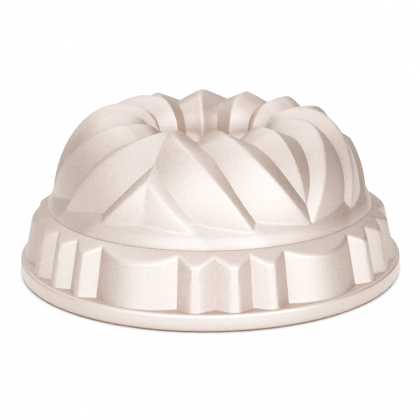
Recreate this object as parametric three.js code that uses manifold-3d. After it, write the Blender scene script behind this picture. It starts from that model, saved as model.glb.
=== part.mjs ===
// Fluted tube pan, turned over and standing on its rim, as it is stored and shown.
// Millimetres, +Z up. The origin is at the middle of the rim's resting face and -Y is the front.
// An angle of 0 degrees is the front, and angles grow towards +X.
import * as THREE from 'three';
import { mergeVertices } from 'three/addons/utils/BufferGeometryUtils.js';
import Module from 'manifold-3d';

const wasm = await Module();
wasm.setup();

// Sheet
const wall = 1.5; // thickness of the formed sheet
const clearance = 0.3; // room between pieces that are seamed together
const lap = 3; // how far the rings of the shell reach into each other where they join
const mergeDistance = 1e-4; // corners closer than this are one corner
const roundSteps = 72; // facets round a turned shape
const arcSteps = 2; // facets in a rounded edge

// Rim: flat ledge, rounded edge and skirt, hemmed inwards round a wire
const rimRadius = 125;
const rimHeight = 10.8;
const rimRound = 2;
const rimFootRound = 2;
const hemSlot = 2.5; // opening left between the hem's edge and the ledge
const wireDiameter = 3;
const wireSides = 6;

// Crown collar: groups of teeth between broad bulges, six of each
const ledgeWidth = 2.7; // from the rim's edge to the feet of the bulges and the teeth
const collarHeight = 32.9; // from the ledge to the lip over the shoulder
const collarDraft = 12.5;
const collarBevel = 1.2; // where the collar meets its shoulder
const bulgeAngle = 26.4;
const bulgeSteps = 6;
const teethPerGroup = 3;
const toothDepth = 6;
const toothTipAngle = 2;

// Shoulder over the collar, base band and the sloping floor between the flutes' feet
const shoulderWidth = 16.65; // from the lip out to the feet of the teeth
const shoulderSlope = 30;
const bandHeight = 5.4;
const bandLean = 1.1;
const floorSlope = 55;

// Dome: a quarter of an ellipse outside the crest, a squarer one inside it
const domeHeight = 60; // from the lip to the crest
const domeStep = 3.1; // from the lip in to the ridges' feet
const crestRadius = 63.5;
const throatRadius = 33.75;
const throatFall = 36; // from the crest down to the plain neck
const domeFullness = 2; // exponent of the section: 2 is an ellipse, more is squarer
const throatFullness = 3;

// Flutes: mirrored at each of six meridians, in degrees from the nearest peak meridian.
// Every ridge leaves the throat radially and sweeps away from its peak meridian as it falls.
const mirrorPairs = 3;
const throatPitch = 30;
const throatWall = 14.3;
const ridges = [
  { foot: -4, bow: 0.08, wall: 4 },
  { foot: 21.3, bow: 0.08, wall: 4 },
  { foot: 40.4, bow: 0.28, wall: 3.6 },
  { foot: 62.5, bow: -0.13, wall: 5.3 },
  { foot: 84.2, bow: -0.04, wall: 5.7 },
];
const firstRidge = -2; // the list's first ridge, in throat pitches from the peak meridian
const sweepStart = 0.25; // share of a quarter over which the sweep sets in, either side of the crest
const wallNarrowing = [-0.07, 0.8]; // where the steep walls start and stop narrowing
const throatDepth = 6.9;
const crestDepth = 7;
const outsideDepth = 2.7;
const depthSettled = 1; // place where the flutes reach their depth at the foot
const runOut = -0.86; // place in the throat from which the flutes run out, down to the neck
const faceSteps = 2; // facets across a flute's broad face
const rowSteps = [2, 6, 4, 1, 2, 2]; // facets from the neck over the crest to the foot, by stretch
const halvings = 40; // steps in the search for the places where two lines meet

// Tube through the middle, seated in the throat like an eyelet
const neckLength = 3;
const flangeWidth = 5.5;
const tubeTaper = 7; // how much narrower the tube is at its open end
const tubeEndHeight = 2;
const tubeBead = 2.4;
const tubeLip = 1.4;
const tubeSteps = 36;

// Places that follow from the sizes above
const collarRadius = rimRadius - ledgeWidth;
const collarValleyRadius = collarRadius - toothDepth;
const lipRadius = collarRadius - shoulderWidth;
const lipHeight = rimHeight + collarHeight;
const domeFootRadius = lipRadius - domeStep;
const crestHeight = lipHeight + domeHeight;
const throatHeight = crestHeight - throatFall;
const seatHeight = throatHeight - neckLength;
const flangeRadius = throatRadius - clearance;
const tubeRadius = flangeRadius - flangeWidth;
const halfSector = 180 / mirrorPairs;
const innerRadius = lipRadius - 5 * lap; // where the base's rings end, inside the cake space
const cavityFoot = -2 * lap; // the cake space is cut out well below the rim

const radians = THREE.MathUtils.degToRad;
const { lerp, clamp, smoothstep } = THREE.MathUtils;
const quarter = Math.PI / 2;

function around(angle, radius, height) {
  const turn = radians(angle);
  return new THREE.Vector3(radius * Math.sin(turn), -radius * Math.cos(turn), height);
}

function arc(radius, height, size, from, to) {
  const points = [];
  for (let step = 0; step <= arcSteps; step += 1) {
    const turn = radians(lerp(from, to, step / arcSteps));
    points.push([radius + size * Math.cos(turn), height + size * Math.sin(turn)]);
  }
  return points;
}

// A ring turned from a closed profile of [radius, height] points.
function turned(profile, steps = roundSteps) {
  const points = [...profile, profile[0]].map(([radius, height]) => new THREE.Vector2(radius, height));
  return new THREE.LatheGeometry(points, steps).rotateX(quarter);
}

// A ring lofted through closed loops of points. The last loop joins the first one.
function lofted(loops) {
  const columns = loops[0].length;
  const index = [];
  loops.forEach((loop, row) => {
    const next = (row + 1) % loops.length;
    for (let column = 0; column < columns; column += 1) {
      const right = (column + 1) % columns;
      const [near, far] = [row * columns, next * columns];
      index.push(near + column, near + right, far + right);
      index.push(near + column, far + right, far + column);
    }
  });
  return new THREE.BufferGeometry().setFromPoints(loops.flat()).setIndex(index);
}

// A closed mesh with its vertices merged, its collapsed facets dropped and its faces pointing out.
function closedMesh(geometry) {
  geometry.deleteAttribute('normal');
  geometry.deleteAttribute('uv');
  const merged = mergeVertices(geometry, mergeDistance);
  const position = merged.attributes.position;
  const corners = [0, 1, 2].map(() => new THREE.Vector3());
  const index = [];
  let volume = 0;
  for (let start = 0; start < merged.index.count; start += 3) {
    const triangle = [0, 1, 2].map((corner) => merged.index.getX(start + corner));
    if (new Set(triangle).size < 3) continue;
    triangle.forEach((vertex, corner) => corners[corner].fromBufferAttribute(position, vertex));
    volume += corners[0].dot(corners[1].clone().cross(corners[2]));
    index.push(triangle);
  }
  const outward = volume > 0 ? index : index.map((triangle) => triangle.reverse());
  return merged.setIndex(outward.flat());
}

function solid(geometry) {
  const mesh = closedMesh(geometry);
  return new wasm.Manifold(new wasm.Mesh({
    numProp: 3,
    vertProperties: new Float32Array(mesh.attributes.position.array),
    triVerts: new Uint32Array(mesh.index.array),
  }));
}

function geometryOf(manifold) {
  const mesh = manifold.getMesh();
  const geometry = new THREE.BufferGeometry();
  geometry.setAttribute('position', new THREE.BufferAttribute(mesh.vertProperties, mesh.numProp));
  return geometry.setIndex(new THREE.BufferAttribute(mesh.triVerts, 1));
}

function joined(geometries) {
  return geometries.map(solid).reduce((whole, piece) => whole.add(piece));
}

// Flute rule. Place 0 is the crest, 1 the foot outside and -1 the neck of the throat.
function sweepShare(place) {
  if (place < -sweepStart) return 0;
  if (place > sweepStart) return place;
  return (place + sweepStart) ** 2 / (4 * sweepStart);
}

function ridgeAngle(line, place) {
  const share = sweepShare(place);
  const bowed = share + ridges[line].bow * share * (1 - share);
  return lerp((line + firstRidge) * throatPitch, ridges[line].foot, bowed);
}

function valleyAngle(line, place) {
  const narrowed = smoothstep(place, ...wallNarrowing);
  return ridgeAngle(line, place) + lerp(throatWall, ridges[line].wall, narrowed);
}

// Height in a flute at an angle from its peak meridian: 1 on a ridge, 0 in a valley.
function fluteHeight(angle, place) {
  const line = ridges.findIndex((_, number) => valleyAngle(number, place) > angle);
  const ridge = ridgeAngle(line, place);
  if (angle > ridge) return 1 - (angle - ridge) / (valleyAngle(line, place) - ridge);
  const valley = valleyAngle(line - 1, place);
  return (angle - valley) / (ridge - valley);
}

function fluteDepth(place) {
  const throat = lerp(crestDepth, throatDepth, smoothstep(-place, 0, -runOut));
  const outside = lerp(throat, outsideDepth, smoothstep(place, 0, depthSettled));
  return outside * smoothstep(place, -1, runOut);
}

// A point of the ridges' envelope, moved inwards along its normal.
function domePoint(place, inset) {
  const turn = Math.abs(place) * quarter;
  const [sine, cosine] = [Math.sin(turn), Math.cos(turn)];
  const foot = place > 0 ? [domeFootRadius, lipHeight] : [throatRadius, throatHeight];
  const [reach, rise] = [foot[0] - crestRadius, crestHeight - foot[1]];
  const power = 2 / (place > 0 ? domeFullness : throatFullness);
  const normal = new THREE.Vector2(
    Math.sign(reach) * rise * sine ** (2 - power),
    Math.abs(reach) * cosine ** (2 - power),
  ).normalize();
  const radius = crestRadius + reach * sine ** power;
  const height = foot[1] + rise * cosine ** power;
  return [radius - inset * normal.x, height - inset * normal.y];
}

// The place where a sweeping line reaches an angle, outside the crest.
function placeWhere(line, angle) {
  let [low, high] = [0, 1];
  for (let halving = 0; halving < halvings; halving += 1) {
    const middle = (low + high) / 2;
    if (line(middle) < angle) low = middle;
    else high = middle;
  }
  return (low + high) / 2;
}

const born = -1 - firstRidge; // the ridge that starts on the peak meridian
const lost = 1 - firstRidge; // the ridge that ends on the hollow meridian

function spread(stops, counts) {
  const places = [stops[0]];
  counts.forEach((count, span) => {
    for (let step = 1; step <= count; step += 1) {
      places.push(lerp(stops[span], stops[span + 1], step / count));
    }
  });
  return places;
}

function flutePlaces() {
  const meetings = [
    placeWhere((place) => valleyAngle(born, place), 0),
    placeWhere((place) => ridgeAngle(born, place), 0),
    placeWhere((place) => valleyAngle(lost, place), halfSector),
  ].sort((a, b) => a - b);
  return spread([-1, runOut, 0, ...meetings, 1], rowSteps);
}

// Break angles across one half sector, from its peak meridian to its hollow meridian.
function breakAngles(place) {
  const lines = [born, born + 1, born + 2];
  const edges = lines.flatMap((line) => [ridgeAngle(line, place), valleyAngle(line, place)]);
  const stops = [0, ...edges.map((angle) => clamp(angle, 0, halfSector)), halfSector];
  return spread(stops, stops.slice(1).map((_, span) => (span % 2 ? 1 : faceSteps)));
}

function fluteLoop(place, inset) {
  const angles = breakAngles(place);
  const depth = fluteDepth(place);
  const loop = [];
  for (let half = 0; half < 2 * mirrorPairs; half += 1) {
    const run = half % 2 ? [...angles].reverse() : angles;
    run.slice(0, -1).forEach((angle) => {
      const turn = half % 2 ? (half + 1) * halfSector - angle : half * halfSector + angle;
      const [radius, height] = domePoint(place, inset + depth * (1 - fluteHeight(angle, place)));
      loop.push(around(turn, radius, height));
    });
  }
  return loop;
}

function flatLoop(loop, radius, height) {
  return loop.map((point) => new THREE.Vector3(point.x, point.y, 0).setLength(radius).setZ(height));
}

function flutedRing(inset, neckFoot, outerFoot) {
  const loops = flutePlaces().map((place) => fluteLoop(place, inset));
  const footRadius = domeFootRadius - outsideDepth - lap;
  loops.push(flatLoop(loops.at(-1), footRadius - inset, outerFoot));
  loops.push(flatLoop(loops[0], throatRadius + inset, neckFoot));
  return lofted(loops);
}

// Base band and floor, as a ring whose faces lie inset from the outside ones.
function bandRing(inset, foot) {
  const normal = [Math.sin(radians(floorSlope)), Math.cos(radians(floorSlope))];
  const bandTop = lipHeight + bandHeight;
  const corner = bandTop - inset * (1 - normal[0]) / normal[1];
  const floorReach = outsideDepth + 2 * lap;
  return turned([
    [innerRadius - inset, foot],
    [lipRadius - inset, foot],
    [lipRadius - inset, lipHeight],
    [lipRadius - bandLean / 3 - inset, lipHeight + bandHeight / 2],
    [lipRadius - bandLean - inset, corner],
    [lipRadius - bandLean - inset - floorReach, corner + floorReach * Math.tan(radians(floorSlope))],
    [innerRadius - inset, corner],
  ]);
}

// Collar outline over one sixth of a turn: [angle, radius] from one bulge's start to the next one's.
function collarOutline() {
  const outline = [];
  const halfBulge = bulgeAngle / 2;
  const chord = collarValleyRadius * Math.sin(radians(halfBulge));
  const rise = collarRadius - collarValleyRadius * Math.cos(radians(halfBulge));
  const bulgeRadius = (chord ** 2 + rise ** 2) / (2 * rise);
  const bulgeCentre = collarRadius - bulgeRadius;
  for (let step = 0; step < bulgeSteps; step += 1) {
    const angle = lerp(-halfBulge, halfBulge, step / bulgeSteps);
    const along = bulgeCentre * Math.cos(radians(angle));
    const aside = bulgeCentre * Math.sin(radians(angle));
    outline.push([angle, along + Math.sqrt(bulgeRadius ** 2 - aside ** 2)]);
  }
  const toothAngle = (halfSector - bulgeAngle) / teethPerGroup;
  for (let tooth = 0; tooth < teethPerGroup; tooth += 1) {
    const start = halfBulge + tooth * toothAngle;
    outline.push([start, collarValleyRadius]);
    outline.push([start + (toothAngle - toothTipAngle) / 2, collarRadius]);
    outline.push([start + (toothAngle + toothTipAngle) / 2, collarRadius]);
  }
  return outline;
}

function collarRing(inset, foot) {
  const slope = Math.tan(radians(shoulderSlope));
  const lean = Math.tan(radians(collarDraft));
  const sink = inset / Math.cos(radians(shoulderSlope));
  const shoulder = (radius) => lipHeight - sink - (radius - lipRadius) * slope;
  const outline = collarOutline();
  const loops = [[], [], [], [], []];
  for (let sector = 0; sector < 2 * mirrorPairs; sector += 1) {
    outline.forEach(([angle, outside]) => {
      const turn = angle + sector * halfSector;
      const radius = outside - inset + rimHeight * lean;
      const top = shoulder(radius) / (1 - lean * slope);
      const brow = radius - top * lean;
      loops[0].push(around(turn, innerRadius, foot));
      loops[1].push(around(turn, radius - foot * lean, foot));
      loops[2].push(around(turn, brow + collarBevel * lean, top - collarBevel));
      loops[3].push(around(turn, brow - collarBevel, shoulder(brow - collarBevel)));
      loops[4].push(around(turn, innerRadius, shoulder(innerRadius)));
    });
  }
  return lofted(loops);
}

// Ledge, skirt and hem in one section of the sheet, open to the inside over the hem's edge.
function rimRing() {
  const ledge = rimHeight - wall;
  const hemHeight = ledge - hemSlot;
  const hemRadius = rimRadius - 2 * wall - wireDiameter - 2 * clearance;
  const shoulderRadius = rimRadius - rimRound;
  const shoulderHeight = rimHeight - rimRound;
  return turned([
    [collarValleyRadius - 2 * lap, rimHeight],
    ...arc(shoulderRadius, shoulderHeight, rimRound, 90, 0),
    ...arc(rimRadius - rimFootRound, rimFootRound, rimFootRound, 0, -90),
    [hemRadius, 0],
    [hemRadius, hemHeight],
    [hemRadius + wall, hemHeight],
    [hemRadius + wall, wall],
    [rimRadius - wall, wall],
    ...arc(shoulderRadius, shoulderHeight, rimRound - wall, 0, 90),
    [collarValleyRadius - 2 * lap, ledge],
  ]);
}

function seatRing() {
  const hole = tubeRadius + clearance;
  const outside = throatRadius + wall / 2;
  const underside = seatHeight - wall;
  return turned([[hole, underside], [outside, underside], [outside, seatHeight], [hole, seatHeight]]);
}

function flutedShell() {
  const underLedge = rimHeight - wall - hemSlot / 2;
  const outside = joined([
    flutedRing(0, seatHeight - wall, lipHeight - lap),
    bandRing(0, lipHeight - lap),
    collarRing(0, rimHeight - wall / 2),
    rimRing(),
    seatRing(),
  ]);
  const inside = joined([
    flutedRing(wall, cavityFoot, cavityFoot),
    bandRing(wall, lipHeight - 3 * lap),
    collarRing(wall, underLedge),
  ]);
  return geometryOf(outside.subtract(inside));
}

// Tapered tube: flange on the seat, bead under it, rolled lip at the open end.
function centreTube() {
  const flangeFoot = seatHeight + clearance;
  const beadTop = seatHeight - wall - clearance;
  const beadFoot = beadTop - 2 * tubeBead;
  const lipTop = tubeEndHeight + 2 * tubeLip;
  const endRadius = tubeRadius - tubeTaper;
  return turned([
    [tubeRadius - wall, flangeFoot - wall],
    [tubeRadius - wall, beadFoot],
    [endRadius - wall, lipTop],
    [endRadius - wall, tubeEndHeight + tubeLip / 2],
    [endRadius - wall / 2, tubeEndHeight],
    ...arc(endRadius, tubeEndHeight + tubeLip, tubeLip, -90, 90),
    [tubeRadius, beadFoot],
    [tubeRadius + tubeBead / 2, beadFoot + tubeBead / 2],
    [tubeRadius + tubeBead, beadTop - tubeBead / 2],
    [tubeRadius + tubeBead, beadTop],
    [tubeRadius, beadTop],
    [tubeRadius, flangeFoot],
    [flangeRadius, flangeFoot],
    [flangeRadius, flangeFoot + wall / 2],
    [flangeRadius - wall / 2, flangeFoot + wall],
    [tubeRadius, flangeFoot + wall],
    [tubeRadius - wall / 2, flangeFoot + wall / 2],
  ], tubeSteps);
}

// Hoop lying in the hem.
function rimWire() {
  const hoopRadius = rimRadius - wall - clearance - wireDiameter / 2;
  const hoop = new THREE.TorusGeometry(hoopRadius, wireDiameter / 2, wireSides, roundSteps);
  return hoop.translate(0, 0, wall + clearance + wireDiameter / 2);
}

const champagneCoat = { color: 0xe6d9cf, roughness: 0.42, metalness: 0.75 };
const brightSteel = { color: 0xb9babc, roughness: 0.35, metalness: 1 };

function piece(name, geometry, finish) {
  const faceted = closedMesh(geometry);
  faceted.computeVertexNormals();
  const mesh = new THREE.Mesh(faceted, new THREE.MeshStandardMaterial({ ...finish, flatShading: true }));
  mesh.name = name;
  return mesh;
}

const pan = new THREE.Group();
pan.add(
  piece('fluted_shell', flutedShell(), champagneCoat),
  piece('centre_tube', centreTube(), champagneCoat),
  piece('rim_wire', rimWire(), brightSteel),
);

export default pan;
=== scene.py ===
import math
from types import SimpleNamespace

import bmesh
import bpy
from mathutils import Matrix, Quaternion, Vector


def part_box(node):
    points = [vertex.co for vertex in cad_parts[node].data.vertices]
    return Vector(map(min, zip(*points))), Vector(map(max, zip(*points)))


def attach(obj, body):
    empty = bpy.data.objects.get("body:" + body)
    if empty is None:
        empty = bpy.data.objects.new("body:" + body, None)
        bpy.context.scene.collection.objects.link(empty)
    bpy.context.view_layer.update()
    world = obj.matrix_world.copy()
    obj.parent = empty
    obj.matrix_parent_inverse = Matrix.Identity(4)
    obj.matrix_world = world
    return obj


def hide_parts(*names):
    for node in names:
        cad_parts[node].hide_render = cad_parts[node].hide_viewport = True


# Fluted tube pan, turned over and standing on its rim. Sizes are in millimetres unless they say otherwise.
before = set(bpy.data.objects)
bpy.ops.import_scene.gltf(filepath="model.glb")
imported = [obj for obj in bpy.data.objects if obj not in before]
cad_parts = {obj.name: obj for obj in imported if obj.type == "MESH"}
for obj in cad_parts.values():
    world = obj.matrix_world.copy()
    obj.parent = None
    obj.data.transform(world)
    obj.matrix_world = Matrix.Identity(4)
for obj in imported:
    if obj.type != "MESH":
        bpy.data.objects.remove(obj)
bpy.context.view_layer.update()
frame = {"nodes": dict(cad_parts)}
mm = 0.001
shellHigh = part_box("fluted_shell")[1]
tubeLow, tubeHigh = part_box("centre_tube")
print("frame loaded:", ", ".join(frame["nodes"]))


# One socket of a node tree. Sums on it become Math nodes, and node() adds any other node.
class Flow:
    def __init__(self, tree, socket=None):
        self.tree = tree
        self.socket = socket

    def node(self, kind, settings=None, links=None, output=0):
        made = self.tree.nodes.new(kind)
        for name, value in (settings or {}).items():
            setattr(made, name, value)
        for name, value in (links or {}).items():
            if isinstance(value, Flow):
                self.tree.links.new(value.socket, made.inputs[name])
            else:
                made.inputs[name].default_value = value
        return Flow(self.tree, made.outputs[output])

    def maths(self, operation, *terms):
        return self.node("ShaderNodeMath", {"operation": operation}, dict(enumerate(terms)))

    def __add__(self, other):
        return self.maths("ADD", self, other)

    def __radd__(self, other):
        return self.maths("ADD", other, self)

    def __sub__(self, other):
        return self.maths("SUBTRACT", self, other)

    def __rsub__(self, other):
        return self.maths("SUBTRACT", other, self)

    def __mul__(self, other):
        return self.maths("MULTIPLY", self, other)

    def __rmul__(self, other):
        return self.maths("MULTIPLY", other, self)

    def __truediv__(self, other):
        return self.maths("DIVIDE", self, other)

    def __rtruediv__(self, other):
        return self.maths("DIVIDE", other, self)

    def __pow__(self, other):
        return self.maths("POWER", self, other)


def ramp(value, low, high, kind="LINEAR"):  # 0 up to low, 1 from high on
    return value.node("ShaderNodeMapRange", {"interpolation_type": kind}, {0: value, 1: low, 2: high})


def limited(value, low, high):
    return value.node("ShaderNodeClamp", links={0: value, 1: low, 2: high})


def smoothMin(one, two, reach):
    return one.maths("SMOOTH_MIN", one, two, reach)


def smoothMax(one, two, reach):
    return one.maths("SMOOTH_MAX", one, two, reach)


def between(start, end, share):
    return start + (end - start) * share


# Walks each channel's stops, one stretch after another, in as many steps as the counts say.
# Gather above 0 crowds the steps towards both ends of a stretch.
def stepped(counter, counts, *channels, gather=0.0):
    values = [stops[0] for stops in channels]
    first = 0
    for stretch, count in enumerate(counts):
        share = ramp(counter, first, first + count)
        if gather:
            share = between(share, ramp(counter, first, first + count, "SMOOTHSTEP"), gather)
        for number, stops in enumerate(channels):
            if stops[stretch] is not stops[stretch + 1]:
                values[number] = values[number] + (stops[stretch + 1] - stops[stretch]) * share
        first += count
    return values


# Stations of a section: radius, height, steps from the station before and how much wear and painted glint
# the sheet has there.
def bend(start, corner, end, steps, wearAndPaintedLight=0.0, wearAndPaintedLightEnd=0.0):
    stations = []
    for step in range(1, steps + 1):
        share = step / steps
        near, far = (1 - share) ** 2, share ** 2
        middle = 2 * share * (1 - share)
        place = [near * start[axis] + middle * corner[axis] + far * end[axis] for axis in (0, 1)]
        stations.append((*place, 1, 2 * middle * wearAndPaintedLight + far * wearAndPaintedLightEnd))
    return stations


def walk(counter, stations):
    radii = [station[0] for station in stations]
    heights = [station[1] for station in stations]
    wearAndGlintStops = [station[3] if len(station) > 3 else 0.0 for station in stations]
    return stepped(counter, [station[2] for station in stations[1:]], radii, heights, wearAndGlintStops)


# Named inputs of a tree, one for each size.
def namedInputs(tree, sizes):
    for name in sizes:
        tree.interface.new_socket(name, in_out="INPUT", socket_type="NodeSocketFloat")
    group = tree.nodes.new("NodeGroupInput")
    return SimpleNamespace(**{name: Flow(tree, group.outputs[name]) for name in sizes})


# Runs a tree on an empty mesh and keeps the result as a plain mesh.
def baked(name, tree, sizes):
    piece = bpy.data.objects.new(name, bpy.data.meshes.new(name))
    bpy.context.scene.collection.objects.link(piece)
    modifier = piece.modifiers.new("shape", "NODES")
    modifier.node_group = tree
    for item in tree.interface.items_tree:
        if item.in_out == "INPUT":
            modifier[item.identifier] = float(sizes[item.name])
    graph = bpy.context.evaluated_depsgraph_get()
    mesh = bpy.data.meshes.new_from_object(piece.evaluated_get(graph), depsgraph=graph)
    piece.modifiers.remove(modifier)
    piece.data = mesh
    return piece


# Points every face of a closed mesh outwards and marks its sharp edges.
def settled(piece, crease):
    work = bmesh.new()
    work.from_mesh(piece.data)
    if work.calc_volume(signed=True) < 0:
        bmesh.ops.reverse_faces(work, faces=work.faces)
    openEdges = sum(1 for edge in work.edges if not edge.is_manifold)
    triangles = sum(len(face.verts) - 2 for face in work.faces)
    work.to_mesh(piece.data)
    work.free()
    piece.data.shade_smooth()
    piece.data.set_sharp_from_angle(angle=math.radians(crease))
    print(piece.name, "has", triangles, "triangles and", openEdges, "open edges")


# Champagne coat: satin metallic paint with a fine sandy speckle
coatLook = {
    "deep": (0.27, 0.212, 0.184, 1),
    "bright": (0.53, 0.43, 0.381, 1),
    "tone": 0.62,  # between deep and bright on a plain face
    "cloudShare": 0.10,
    "grainShare": 0.95,
    "dustShare": 0.9,
    "ridgeWearAndPaintedLight": 0.28,  # lighter on the ridges and darker in the valleys: partly wear where hands and cakes rub, partly painted highlight on the ridges and painted shade in the valleys
    # lighter on the collar's brow and the rim's edge: wear and a painted glint
    "edgeWearAndGlintShare": 0.30,
    "edgeSmooth": 0.6,  # share of the speckle that is lost there
    "metallic": 0.95,
    "roughness": 0.57,
    "cloudSize": 45.0,
    "grainSize": 0.85,
    "dustSize": 0.38,
    "bump": 0.12,  # depth of the speckle
    "dustRelief": 0.5,  # of the grain's depth
    "speckleRoughness": 0.2,
    "edgePolish": 0.05,
}


def newMaterial(name):
    material = bpy.data.materials.new(name)
    material.use_nodes = True
    shader = material.node_tree.nodes["Principled BSDF"]
    return material, shader, Flow(material.node_tree)


def noise(flow, spot, size, detail):
    sockets = {"Vector": spot, "Scale": 1 / (size * mm), "Detail": detail}
    return flow.node("ShaderNodeTexNoise", links=sockets)


def feed(shader, name, value):
    shader.id_data.links.new(value.socket, shader.inputs[name])


def champagneCoat(look):
    material, shader, flow = newMaterial("champagneCoat")
    spot = flow.node("ShaderNodeTexCoord", output="Object")
    cloud = noise(flow, spot, look["cloudSize"], detail=2.0) - 0.5
    grain = noise(flow, spot, look["grainSize"], detail=1.0) - 0.5
    dust = noise(flow, spot, look["dustSize"], detail=0.0) - 0.5
    ridge = flow.node("ShaderNodeAttribute", {"attribute_name": "ridge"}, output="Fac")
    edge = flow.node("ShaderNodeAttribute", {"attribute_name": "edge"}, output="Fac")
    speckle = grain * look["grainShare"] + dust * look["dustShare"]
    speckle = speckle * (1 - edge * look["edgeSmooth"])
    # painted highlight on the ridges and painted shade in the valleys, with some wear; wear and a painted
    # glint on the collar's brow and the rim's edge
    wearAndPaintedLight = (ridge - 0.5) * look["ridgeWearAndPaintedLight"] + edge * look["edgeWearAndGlintShare"]
    tone = look["tone"] + cloud * look["cloudShare"] + speckle + wearAndPaintedLight
    shades = {0: tone, 6: look["deep"], 7: look["bright"]}
    colour = flow.node("ShaderNodeMix", {"data_type": "RGBA"}, shades, output=2)
    height = grain + dust * look["dustRelief"]
    relief = {"Height": height, "Distance": look["bump"] * mm, "Strength": 1.0}
    feed(shader, "Base Color", colour)
    roughness = look["roughness"] + speckle * look["speckleRoughness"] - edge * look["edgePolish"]
    feed(shader, "Roughness", roughness)
    feed(shader, "Normal", flow.node("ShaderNodeBump", links=relief))
    shader.inputs["Metallic"].default_value = look["metallic"]
    return material


# Tube: the same coat over turned rings
tubeLook = {
    "deep": (0.27, 0.207, 0.176, 1),
    "bright": (0.52, 0.415, 0.363, 1),
    "tone": 0.6,
    "grainShare": 0.3,
    "ringShare": 0.12,
    "grainSize": 0.85,
    "ringPitch": 1.1,
    "metallic": 0.72,
    "roughness": 0.42,
    "bump": 0.05,
    "ringRelief": 0.4,  # of the grain's depth
    "grainRoughness": 0.12,
}


def tubeCoat(look):
    material, shader, flow = newMaterial("tubeCoat")
    spot = flow.node("ShaderNodeTexCoord", output="Object")
    grain = noise(flow, spot, look["grainSize"], detail=1.0) - 0.5
    along = flow.node("ShaderNodeSeparateXYZ", links={0: spot}, output="Z")
    ring = flow.maths("SINE", along * (math.tau / (look["ringPitch"] * mm))) * 0.5  # as far as the grain
    tone = look["tone"] + grain * look["grainShare"] + ring * look["ringShare"]
    shades = {0: tone, 6: look["deep"], 7: look["bright"]}
    colour = flow.node("ShaderNodeMix", {"data_type": "RGBA"}, shades, output=2)
    height = grain + ring * look["ringRelief"]
    relief = {"Height": height, "Distance": look["bump"] * mm, "Strength": 1.0}
    feed(shader, "Base Color", colour)
    feed(shader, "Roughness", look["roughness"] + grain * look["grainRoughness"])
    feed(shader, "Normal", flow.node("ShaderNodeBump", links=relief))
    shader.inputs["Metallic"].default_value = look["metallic"]
    return material


# Wire: drawn steel, streaked along its length
wireLook = {
    "deep": (0.30, 0.30, 0.31, 1),
    "bright": (0.62, 0.62, 0.63, 1),
    "streakSize": 0.5,
    "blotchSize": 9.0,
    "streakShare": 0.6,
    "blotchShare": 0.4,
    "roughness": 0.32,
    "blotchRoughness": 0.15,
    "bump": 0.02,
}


def drawnSteel(look):
    material, shader, flow = newMaterial("drawnSteel")
    spot = flow.node("ShaderNodeTexCoord", output="Object")
    aside = flow.node("ShaderNodeSeparateXYZ", links={0: spot}, output="Z")
    radius = flow.node("ShaderNodeVectorMath", {"operation": "LENGTH"}, {0: spot}, output="Value")
    across = flow.node("ShaderNodeCombineXYZ", links={0: radius, 2: aside})
    streak = noise(flow, across, look["streakSize"], detail=2.0)
    blotch = noise(flow, spot, look["blotchSize"], detail=3.0)
    tone = streak * look["streakShare"] + blotch * look["blotchShare"]
    shades = {0: tone, 6: look["deep"], 7: look["bright"]}
    colour = flow.node("ShaderNodeMix", {"data_type": "RGBA"}, shades, output=2)
    relief = {"Height": streak, "Distance": look["bump"] * mm, "Strength": 1.0}
    feed(shader, "Base Color", colour)
    feed(shader, "Roughness", look["roughness"] + blotch * look["blotchRoughness"])
    feed(shader, "Normal", flow.node("ShaderNodeBump", links=relief))
    shader.inputs["Metallic"].default_value = 1.0
    return material


# Fluted shell: one formed sheet from the throat over the dome and the collar to the hem
shell = {
    "wall": 1.5,
    "rimRadius": shellHigh.x / mm,
    "rimHeight": 10.8,
    "rimRound": 2.0,
    "rimFootRound": 2.0,
    "hemRadius": 118.4,
    "hemHeight": 6.8,
    "hemRound": 0.5,
    "ledgeFillet": 0.5,
    "ledgeWidth": 2.7,
    "toothDepth": 6.0,
    "toothTip": 2.0,  # degrees of flat on a tooth
    "tipRound": 0.12,
    "bulgeAngle": 26.4,
    "collarDraft": 12.5,
    "browRound": 2.2,
    "shoulderWidth": 16.65,
    "shoulderSlope": 30.0,
    "lipHeight": 43.7,
    "lipRound": 0.3,
    "lipDrop": 0.045,  # step under the lip
    "bandHeight": 5.4,
    "bandLean": 1.1,
    "bandCurve": 1.6,  # 1 is a straight lean, more starts it later
    "bandRound": 2.4,
    "floorSlope": 55.0,
    "footRound": 0.5,
    "domeStep": 3.1,
    "crestHeight": shellHigh.z / mm,
    "crestRadius": 63.5,
    "throatRadius": 33.75,
    "throatFall": 36.0,
    "throatFullness": 3.0,  # 2 is an ellipse, more is squarer
    "neckLength": 3.0,
    "neckFillet": 0.8,
    "seatHole": 28.25,
    "throatDepth": 6.9,
    "crestDepth": 7.0,
    "outsideDepth": 2.7,
    "depthSettled": 1.0,
    "runOutStart": -1.0,
    "runOutEnd": -0.86,
    "sweepStart": 0.25,
    "narrowStart": -0.07,
    "narrowEnd": 0.8,
    "throatWall": 14.3,
    "ridgeRound": 0.36,  # share of a flute's depth
    "valleyRound": 0.04,
}
mirrorPairs = 3
halfSector = 180 / mirrorPairs  # degrees from a peak meridian to the hollow one beside it
throatPitch = 30  # degrees between ridges in the throat
firstRidge = -2  # the first ridge below, in throat pitches from the peak meridian
ridges = [  # foot and wall in degrees
    {"foot": -4.0, "bow": 0.08, "wall": 4.0},
    {"foot": 21.3, "bow": 0.08, "wall": 4.0},
    {"foot": 40.4, "bow": 0.28, "wall": 3.6},
    {"foot": 62.5, "bow": -0.13, "wall": 5.3},
    {"foot": 84.2, "bow": -0.04, "wall": 5.7},
]
for number, line in enumerate(ridges):
    for word, value in line.items():
        shell[f"ridge{number}{word.capitalize()}"] = value
born, lost = 1, 3  # first and last ridge between a peak and a hollow meridian
domeColumns = [8, 7, 12, 7, 12, 7, 7]  # from the peak meridian, by face and wall
bulgeColumns = 9
toothColumns = [5, 4, 5]
teeth = 3
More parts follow.
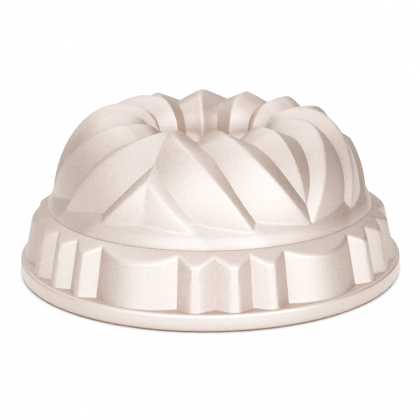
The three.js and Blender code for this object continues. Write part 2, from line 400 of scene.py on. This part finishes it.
collarColumns = [bulgeColumns] + toothColumns * teeth + [bulgeColumns]
halfColumns = sum(domeColumns)
outerPlaces = [-1, -0.86, -0.15, -0.03, 0, 0.5, 0.8, 0.985, 1]  # -1 neck, 0 crest, 1 foot
outerRows = [7, 22, 8, 6, 26, 24, 40, 5]
innerPlaces = [1, 0.8, 0, -0.05, -0.86, -1]
innerRows = [12, 16, 5, 14, 5]
columnSlide = (0.935, 1.0)  # places between which the columns pass from the flutes to the teeth
baseFrom = 0.3  # place from which the band and the floor can stand out of the flutes
collarGather, domeGather = 0.3, 0.7  # how far the columns crowd towards the edges of a face
skirtEdgeShare = 0.8  # the rim's skirt gets this share of the edge tone, so it is smoother and lighter than the rest
mergeDistance = 2e-6  # metres
shellCrease, tubeCrease, wireCrease = 22, 30, 60  # degrees from which an edge is sharp


# Sweeping lines of the flutes: ridge and valley angles at a place.
def fluteLines(size, place):
    start = size.sweepStart
    setIn = limited(place + start, 0.0, start * 2)
    share = setIn * setIn / (start * 4) + place.maths("MAXIMUM", place - start, 0.0)
    narrowed = ramp(place, size.narrowStart, size.narrowEnd, "SMOOTHSTEP")
    crests, valleys = [], []
    for number in range(len(ridges)):
        foot, bow, wall = (getattr(size, f"ridge{number}{word}") for word in ("Foot", "Bow", "Wall"))
        bowed = share + bow * share * (1 - share)
        crests.append(between((number + firstRidge) * throatPitch, foot, bowed))
        valleys.append(crests[-1] + between(size.throatWall, wall, narrowed))
    return crests, valleys


# 1 on a ridge, 0 in a valley: a broad face rises to the ridge and a steep wall falls from it.
def fluteHeight(size, angle, crests, valleys):
    height = None
    for number in range(born, len(ridges)):
        rising = (angle - valleys[number - 1]) / (crests[number] - valleys[number - 1])
        falling = (valleys[number] - angle) / (valleys[number] - crests[number])
        flute = smoothMin(rising, falling, size.ridgeRound)
        height = smoothMax(height, flute, size.valleyRound) if height else flute
    return limited(height / (1 - size.ridgeRound / 6), 0.0, 1.0)  # a rounded ridge still reaches 1


def fluteDepth(size, place):
    inwards = ramp(place * -1, 0.0, size.runOutEnd * -1, "SMOOTHSTEP")
    outwards = ramp(place, 0.0, size.depthSettled, "SMOOTHSTEP")
    deep = between(between(size.crestDepth, size.throatDepth, inwards), size.outsideDepth, outwards)
    return deep * ramp(place, size.runOutStart, size.runOutEnd, "SMOOTHSTEP")


# Dome: a quarter of an ellipse outside the crest, a squarer one inside it, sunk along their normal.
def domeSection(size, place, sunk):
    turn = place.maths("ABSOLUTE", place) * (math.pi / 2)
    sine, cosine = place.maths("SINE", turn), place.maths("MAXIMUM", place.maths("COSINE", turn), 0.0)
    outside = place.maths("GREATER_THAN", place, 0.0)
    reach = between(size.crestRadius - size.throatRadius, size.footRadius - size.crestRadius, outside)
    rise = between(size.throatFall, size.crestHeight - size.lipHeight, outside)
    side = outside * 2 - 1
    power = between(2 / size.throatFullness, 1.0, outside)
    out, up = rise * sine ** (2 - power), reach * cosine ** (2 - power)
    length = (out ** 2 + up ** 2) ** 0.5
    radius = size.crestRadius + side * (reach * sine ** power - sunk * out / length)
    height = size.crestHeight - rise * (1 - cosine ** power) - sunk * up / length
    return radius, height


# Base band with a rolled lip, and the floor that slopes up between the feet of the flutes.
def baseRadius(size, height, inset):
    above = height - size.lipHeight
    lean = limited(above / size.bandHeight, 0.0, 1.0) ** size.bandCurve
    curl = limited(1 - above / size.lipRound, 0.0, 1.0)
    rolled = (1 - (1 - curl * curl) ** 0.5) * size.lipRound * (1 - inset / size.wall)
    band = size.lipRadius - inset - size.bandLean * lean
    corner = size.bandHeight - inset * size.floorMitre
    floor = size.lipRadius - size.bandLean - inset - (above - corner) / size.floorRise
    return smoothMin(band, floor, size.bandRound) - rolled


# Collar outline: broad bulges on the meridians, teeth between them.
def collarRadius(size, angle):
    near = smoothMin(angle, halfSector - angle, 0.0)
    turn = near * (math.pi / 180)
    aside = size.bulgeCentre * near.maths("SINE", turn)
    bulge = size.bulgeCentre * near.maths("COSINE", turn) + (size.bulgeRadius ** 2 - aside * aside) ** 0.5
    half = size.toothAngle * 0.5
    flank = near.maths("PINGPONG", angle - size.bulgeAngle * 0.5, half) / (half - size.toothTip * 0.5)
    tooth = size.valleyRadius + size.toothDepth * smoothMin(flank, 1.0, size.tipRound)
    return between(tooth, bulge, near.maths("LESS_THAN", near, size.bulgeAngle * 0.5))


# Where the collar's wall meets the shoulder, and the shoulder's height there.
def collarBrow(size, outline, inset):
    plumb = outline - inset + size.rimHeight * size.draft
    top = (size.lipHeight - inset * size.shoulderSlant - (plumb - size.lipRadius) * size.slope)
    top = top / (1 - size.draft * size.slope)
    return plumb - top * size.draft, top


def collarStations(size, outline):
    brow, top = collarBrow(size, outline, 0.0)
    lipEdge = size.lipRadius - size.lipRound
    lipFoot = size.lipHeight - size.lipDrop
    shoulderStart = size.lipRadius + size.lipDrop / size.slope
    browStart = (brow - size.browRound, top + size.browRound * size.slope)
    browEnd = (brow + size.browRound * size.draft, top - size.browRound)
    foot = (outline, size.rimHeight)
    footStart = (outline - size.ledgeFillet * size.draft, size.rimHeight + size.ledgeFillet)
    footEnd = (outline + size.ledgeFillet, size.rimHeight)
    return [
        (lipEdge, size.lipHeight, 0),
        (lipEdge, lipFoot, 1),
        (shoulderStart, lipFoot, 2),
        (*browStart, 6),
        *bend(browStart, (brow, top), browEnd, 6, wearAndPaintedLight=1.0),
        (*footStart, 8),
        *bend(footStart, foot, footEnd, 3),
    ]


def rimStations(size):
    edge, foot = size.rimRadius, size.rimFootRound
    ledgeEnd = (edge - size.rimRound, size.rimHeight)
    skirtTop = (edge, size.rimHeight - size.rimRound)
    skirtFoot = (edge, foot)
    hemStart = (edge - foot, 0.0)
    hemEnd = (size.hemRadius + size.hemRound, 0.0)
    legStart = (size.hemRadius, size.hemRound)
    channel = size.hemRadius + size.wall
    inside = edge - size.wall
    insideTop = (inside, size.rimHeight - size.rimRound)
    underEnd = (edge - size.rimRound, size.rimHeight - size.wall)
    return [
        (*ledgeEnd, 2),
        *bend(ledgeEnd, (edge, size.rimHeight), skirtTop, 6, wearAndPaintedLight=1.0, wearAndPaintedLightEnd=skirtEdgeShare),
        (*skirtFoot, 2, skirtEdgeShare),
        *bend(skirtFoot, (edge, 0.0), hemStart, 3),
        (*hemEnd, 2),
        *bend(hemEnd, (size.hemRadius, 0.0), legStart, 2),
        (size.hemRadius, size.hemHeight, 1),
        (channel, size.hemHeight, 1),
        (channel, size.wall, 1),
        (inside, size.wall, 1),
        (*insideTop, 1),
        *bend(insideTop, (inside, size.rimHeight - size.wall), underEnd, 2),
    ]


def insideStations(size, outline):
    brow, top = collarBrow(size, outline, size.wall)
    under = size.rimHeight - size.wall
    lipInside = size.lipRadius - size.wall
    return [
        (outline - size.wall + size.wall * size.draft, under, 2),
        (brow, top, 5),
        (lipInside, size.lipHeight - size.wall * (size.shoulderSlant - size.slope), 4),
        (lipInside, size.lipHeight, 1),
    ]


def seatStations(size):
    neck = size.throatRadius + size.wall
    seat = size.crestHeight - size.throatFall - size.neckLength
    neckTop = size.crestHeight - size.throatFall
    filletStart = (size.throatRadius - size.neckFillet, seat)
    filletEnd = (size.throatRadius, seat + size.neckFillet)
    return [
        (neck, neckTop, 0),
        (neck, seat - size.wall, 2),
        (size.seatHole, seat - size.wall, 2),
        (size.seatHole, seat, 1),
        (*filletStart, 1),
        *bend(filletStart, (size.throatRadius, seat), filletEnd, 3),
        (size.throatRadius, neckTop, 1),
    ]


# Sizes that follow from the ones above.
def shellPlaces(size):
    angles = ("shoulderSlope", "collarDraft", "floorSlope")
    slope, draft, rise = (math.radians(size[name]) for name in angles)
    outside = size["rimRadius"] - size["ledgeWidth"]
    valley = outside - size["toothDepth"]
    halfBulge = math.radians(size["bulgeAngle"] / 2)
    swell = outside - valley * math.cos(halfBulge)
    bulge = ((valley * math.sin(halfBulge)) ** 2 + swell ** 2) / (2 * swell)
    return {
        "lipRadius": outside - size["shoulderWidth"],
        "footRadius": outside - size["shoulderWidth"] - size["domeStep"],
        "valleyRadius": valley,
        "bulgeRadius": bulge,
        "bulgeCentre": outside - bulge,
        "toothAngle": (halfSector - size["bulgeAngle"]) / teeth,
        "slope": math.tan(slope),
        "shoulderSlant": 1 / math.cos(slope),
        "draft": math.tan(draft),
        "floorRise": math.tan(rise),
        "floorMitre": (1 - math.sin(rise)) / math.cos(rise),
    }


def shellTree(sizes, material):
    tree = bpy.data.node_groups.new("flutedShell", "GeometryNodeTree")
    size = namedInputs(tree, sizes)
    tree.interface.new_socket("Geometry", in_out="OUTPUT", socket_type="NodeSocketGeometry")
    flow = Flow(tree)

    # rows of the section: dome outside, collar and rim, dome inside, seat
    columns = 2 * mirrorPairs * halfColumns
    outer, inner = sum(outerRows), sum(innerRows)
    grid = {"Size X": 1.0, "Size Y": 1.0, "Vertices X": columns + 1}
    spot = flow.node("GeometryNodeInputPosition")
    across = flow.node("ShaderNodeSeparateXYZ", links={0: spot}, output="X")
    along = flow.node("ShaderNodeSeparateXYZ", links={0: spot}, output="Y")
    column = flow.maths("ROUND", (across + 0.5) * columns)
    folded = flow.maths("PINGPONG", column, halfColumns)

    collarStops = [0.0, sizes["bulgeAngle"] / 2]
    flank = (sizes["toothAngle"] - sizes["toothTip"]) / 2
    for part in [flank, sizes["toothTip"], flank] * teeth + [sizes["bulgeAngle"] / 2]:
        collarStops.append(collarStops[-1] + part)
    collarAngle, = stepped(folded, collarColumns, collarStops, gather=collarGather)
    outline = collarRadius(size, collarAngle)
    collar = collarStations(size, outline) + rimStations(size) + insideStations(size, outline)
    seat = seatStations(size)
    collarCount = sum(station[2] for station in collar)
    seatCount = sum(station[2] for station in seat)
    rows = outer + collarCount + inner + seatCount
    grid["Vertices Y"] = rows + 1
    row = flow.maths("ROUND", (along + 0.5) * rows)
    print("shell grid:", columns, "columns and", rows, "rows")

    # place on the dome, angle from the nearest peak meridian, and the flutes there
    innerStart = outer + collarCount
    placeStops = [float(value) for value in outerPlaces + innerPlaces]
    place, = stepped(row, outerRows + [collarCount] + innerRows, placeStops)
    inset = flow.maths("GREATER_THAN", row, innerStart - 0.5) * size.wall
    crests, valleys = fluteLines(size, place)
    middle = [limited(angle, 0.0, halfSector) for number in range(born, lost + 1)
              for angle in (crests[number], valleys[number])]
    domeAngle, = stepped(folded, domeColumns, [0.0, *middle, halfSector], gather=domeGather)
    angle = between(domeAngle, collarAngle, ramp(place, *columnSlide, "SMOOTHSTEP"))
    height = fluteHeight(size, angle, crests, valleys)
    sunk = inset + fluteDepth(size, place) * (1 - height)
    domeRadius, domeZ = domeSection(size, place, sunk)
    based = smoothMax(domeRadius, baseRadius(size, domeZ, inset), size.footRound)
    domeRadius = between(domeRadius, based, flow.maths("GREATER_THAN", place, baseFrom))

    # the section's own part, row by row
    collarR, collarZ, wearAndPaintedLight = walk(row - outer, collar)
    seatR, seatZ, _ = walk(row - (innerStart + inner), seat)
    onCollar = flow.maths("GREATER_THAN", row, outer + 0.5) * flow.maths("LESS_THAN", row, innerStart - 0.5)
    onSeat = flow.maths("GREATER_THAN", row, innerStart + inner + 0.5)
    radius = between(between(domeRadius, collarR, onCollar), seatR, onSeat)
    z = between(between(domeZ, collarZ, onCollar), seatZ, onSeat)

    # angle all the way round: every second half sector is mirrored
    pair = column / (2 * halfColumns)
    nearest = flow.maths("ROUND", pair)
    turn = (nearest * (2 * halfSector) + angle * flow.maths("SIGN", pair - nearest)) * (math.pi / 180)
    position = flow.node("ShaderNodeCombineXYZ", links={
        0: radius * flow.maths("SINE", turn) * mm,
        1: radius * flow.maths("COSINE", turn) * -mm,
        2: z * mm,
    })

    # wear and painted light: painted highlight along the ridges and painted shade in the valleys, with some
    # wear; wear and a painted glint on the collar's brow and the rim's edge, and a lighter skirt
    ridge = between(0.5, height, (1 - onCollar) * (1 - onSeat))
    geometry = flow.node("GeometryNodeMeshGrid", links=grid)
    for name, value in (("ridge", ridge), ("edge", wearAndPaintedLight * onCollar)):
        geometry = flow.node("GeometryNodeStoreNamedAttribute", {"data_type": "FLOAT", "domain": "POINT"},
                             {"Geometry": geometry, "Name": name, "Value": value})
    geometry = flow.node("GeometryNodeSetPosition", links={"Geometry": geometry, "Position": position})
    merged = {"Geometry": geometry, "Distance": mergeDistance}
    geometry = flow.node("GeometryNodeMergeByDistance", links=merged)
    geometry = flow.node("GeometryNodeRealizeInstances", links={"Geometry": geometry})
    geometry = flow.node("GeometryNodeSetMaterial", links={"Geometry": geometry, "Material": material})
    result = tree.nodes.new("NodeGroupOutput")
    tree.links.new(geometry.socket, result.inputs["Geometry"])
    return tree


shell.update(shellPlaces(shell))
champagne = champagneCoat(coatLook)
flutedShell = baked("flutedShell", shellTree(shell, champagne), shell)
settled(flutedShell, shellCrease)


# Turned pieces: a closed profile of (radius, height) points swept round the axis
def turned(name, profile, steps, material, crease):
    work = bmesh.new()
    rings = []
    for step in range(steps):
        turn = math.tau * step / steps
        sine, cosine = math.sin(turn), math.cos(turn)
        rings.append([work.verts.new((r * cosine * mm, r * sine * mm, z * mm)) for r, z in profile])
    for step, ring in enumerate(rings):
        other = rings[(step + 1) % steps]
        for place, vertex in enumerate(ring):
            following = (place + 1) % len(ring)
            work.faces.new((vertex, other[place], other[following], ring[following]))
    mesh = bpy.data.meshes.new(name)
    work.to_mesh(mesh)
    work.free()
    mesh.materials.append(material)
    piece = bpy.data.objects.new(name, mesh)
    bpy.context.scene.collection.objects.link(piece)
    settled(piece, crease)
    return piece


def arc(radius, height, size, start, end, steps):
    points = []
    for step in range(steps + 1):
        turn = math.radians(start + (end - start) * step / steps)
        points.append((radius + size * math.cos(turn), height + size * math.sin(turn)))
    return points


# Centre tube: flange on the seat, bead under it, rolled lip at the open end
tube = {
    "wall": 1.5,
    "flangeRadius": tubeHigh.x / mm,
    "flangeTop": tubeHigh.z / mm,
    "flangeWidth": 5.5,
    "taper": 7.0,
    "endHeight": tubeLow.z / mm,
    "bead": 2.4,
    "lip": 1.4,
    "clearance": 0.3,
    "round": 0.7,
    "steps": 120,
}


def centreTubeProfile(size):
    wall, small = size["wall"], size["round"]
    radius = size["flangeRadius"] - size["flangeWidth"]
    flangeFoot = size["flangeTop"] - wall
    beadTop = flangeFoot - 2 * size["clearance"] - wall
    beadFoot = beadTop - 2 * size["bead"]
    endRadius = radius - size["taper"]
    lipMiddle = size["endHeight"] + size["lip"]
    return [
        *arc(radius + wall, flangeFoot - wall, 2 * wall, 90, 180, 8),
        (radius - wall, beadFoot),
        (endRadius - wall, lipMiddle + size["lip"]),
        *arc(endRadius - wall + small, size["endHeight"] + small, small, 180, 270, 4),
        *arc(endRadius, lipMiddle, size["lip"], -90, 90, 8),
        (radius, beadFoot),
        *arc(radius + size["bead"] - small, beadTop - size["bead"] / 2 - small, small, -20, 0, 3),
        *arc(radius + size["bead"] - small, beadTop - small, small, 0, 90, 4),
        (radius, beadTop),
        (radius, flangeFoot),
        (size["flangeRadius"], flangeFoot),
        *arc(size["flangeRadius"] - small, flangeFoot + wall - small, small, 0, 90, 4),
    ]


tubeFinish = tubeCoat(tubeLook)
centreTube = turned("centreTube", centreTubeProfile(tube), tube["steps"], tubeFinish, tubeCrease)


# Rim wire: a hoop lying in the hem
wire = {
    "thickness": 3.0,
    "wall": 1.5,
    "clearance": 0.3,
    "sides": 16,
    "steps": 160,
}


def wireProfile(size):
    half = size["thickness"] / 2
    radius = shell["rimRadius"] - size["wall"] - size["clearance"] - half
    height = size["wall"] + size["clearance"] + half
    return arc(radius, height, half, 0, 360, size["sides"])[:-1]


wireFinish = drawnSteel(wireLook)
rimWire = turned("rimWire", wireProfile(wire), wire["steps"], wireFinish, wireCrease)


# Studio: pale floor, soft light, camera at the photograph's view
studio = {
    "floorHalf": 6.0,  # metres
    "floorTone": 0.78,
    "floorRoughness": 0.9,
    "skyStrength": 0.02,
    "lights": {  # degrees round from the camera, degrees up, strength, degrees across
        "leftFront": (-30, 16, 2.3, 46),
        "rightFront": (30, 18, 2.95, 46),
        "highFront": (5, 58, 0.4, 36),
        "leftSide": (-110, 48, 0.7, 70),
        "topLight": (0, 85, 0.7, 80),
        "backLight": (180, 62, 1.3, 70),
        "floorLight": (180, 77, 4.45, 46),  # for the floor alone
    },
    "response": 2.0,  # how softly bright tones roll off to white, as in the photograph
    "responseSteps": 16,
    "contrast": (1.0, 1.09, 1.14),  # of red, green and blue
    "evenTone": (0.5, 0.388, 0.33),  # a plain face of the pan, which the contrast leaves as it is
}
view = {
    "azimuth": 23.2,  # degrees round from the front
    "elevation": 17.03,
    "roll": -0.58,
    "distance": 952.4,
    "targetHeight": 36.66,
    "targetAside": 0.12,
    "lens": 123.84,
    "sensor": 36.0,
}


# From the pan outwards, in degrees round from its front and degrees up.
def towards(azimuth, elevation):
    a, e = math.radians(azimuth), math.radians(elevation)
    return Vector((math.sin(a) * math.cos(e), -math.cos(a) * math.cos(e), math.sin(e)))


def makeFloor(look):
    material, shader, _ = newMaterial("paleFloor")
    tone = look["floorTone"]
    shader.inputs["Base Color"].default_value = (tone, tone, tone, 1)
    shader.inputs["Roughness"].default_value = look["floorRoughness"]
    shader.inputs["Specular IOR Level"].default_value = 0.0
    half = look["floorHalf"]
    mesh = bpy.data.meshes.new("floor")
    corners = [(-half, -half, 0), (half, -half, 0), (half, half, 0), (-half, half, 0)]
    mesh.from_pydata(corners, [], [(0, 1, 2, 3)])
    mesh.materials.append(material)
    floor = bpy.data.objects.new("floor", mesh)
    bpy.context.scene.collection.objects.link(floor)
    return floor


def softLight(name, azimuth, elevation, strength, spread):
    light = bpy.data.lights.new(name, "SUN")
    light.energy = strength
    light.angle = math.radians(spread)
    lamp = bpy.data.objects.new(name, light)
    lamp.rotation_mode = "QUATERNION"
    lamp.rotation_quaternion = (-towards(azimuth, elevation)).to_track_quat("-Z", "Y")
    bpy.context.scene.collection.objects.link(lamp)
    return lamp


# Screens a light off everything but these.
def keptTo(lamp, lit):
    reached = bpy.data.collections.new(lamp.name)
    for piece in lit:
        reached.objects.link(piece)
    lamp.light_linking.receiver_collection = reached


def makeCamera(look):
    lens = bpy.data.cameras.new("camera")
    lens.lens = look["lens"]
    lens.sensor_width = look["sensor"]
    camera = bpy.data.objects.new("camera", lens)
    back = towards(look["azimuth"], look["elevation"])
    aim = (-back).to_track_quat("-Z", "Y")
    aside = aim @ Vector((1, 0, 0)) * look["targetAside"]
    target = Vector((0, 0, look["targetHeight"])) + aside
    camera.location = (target + back * look["distance"]) * mm
    camera.rotation_mode = "QUATERNION"
    camera.rotation_quaternion = aim @ Quaternion((0, 0, 1), math.radians(look["roll"]))
    bpy.context.scene.collection.objects.link(camera)
    bpy.context.scene.camera = camera


def makeSky(look):
    world = bpy.data.worlds.new("studio")
    world.use_nodes = True
    sky = world.node_tree.nodes["Background"]
    sky.inputs["Color"].default_value = (1, 1, 1, 1)
    sky.inputs["Strength"].default_value = look["skyStrength"]
    bpy.context.scene.world = world


# The photograph's response to light: bright tones roll off to white, and the shades have more colour.
def makeResponse(look):
    settings = bpy.context.scene.view_settings
    settings.view_transform = "Standard"
    settings.use_curve_mapping = True
    response = settings.curve_mapping
    response.extend = "HORIZONTAL"  # brighter than white stays white
    full = 1 - math.exp(-look["response"])
    for curve, contrast, even in zip(response.curves, look["contrast"], look["evenTone"]):
        for step in range(1, look["responseSteps"]):
            share = step / look["responseSteps"]
            seen = even * (share / even) ** contrast
            curve.points.new(share, min((1 - math.exp(-look["response"] * seen)) / full, 1.0))
    response.update()


floor = makeFloor(studio)
makeSky(studio)
makeCamera(view)
makeResponse(studio)
for name, (azimuth, elevation, strength, spread) in studio["lights"].items():
    lamp = softLight(name, view["azimuth"] + azimuth, elevation, strength, spread)
    keptTo(lamp, [floor] if name == "floorLight" else [flutedShell, centreTube, rimWire])
print("studio ready")

for piece, node, slot in (
    (flutedShell, "fluted_shell", "champagne_coat"),
    (centreTube, "centre_tube", "tube_coat"),
    (rimWire, "rim_wire", "wire_steel"),
):
    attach(piece, "root")
    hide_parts(node)
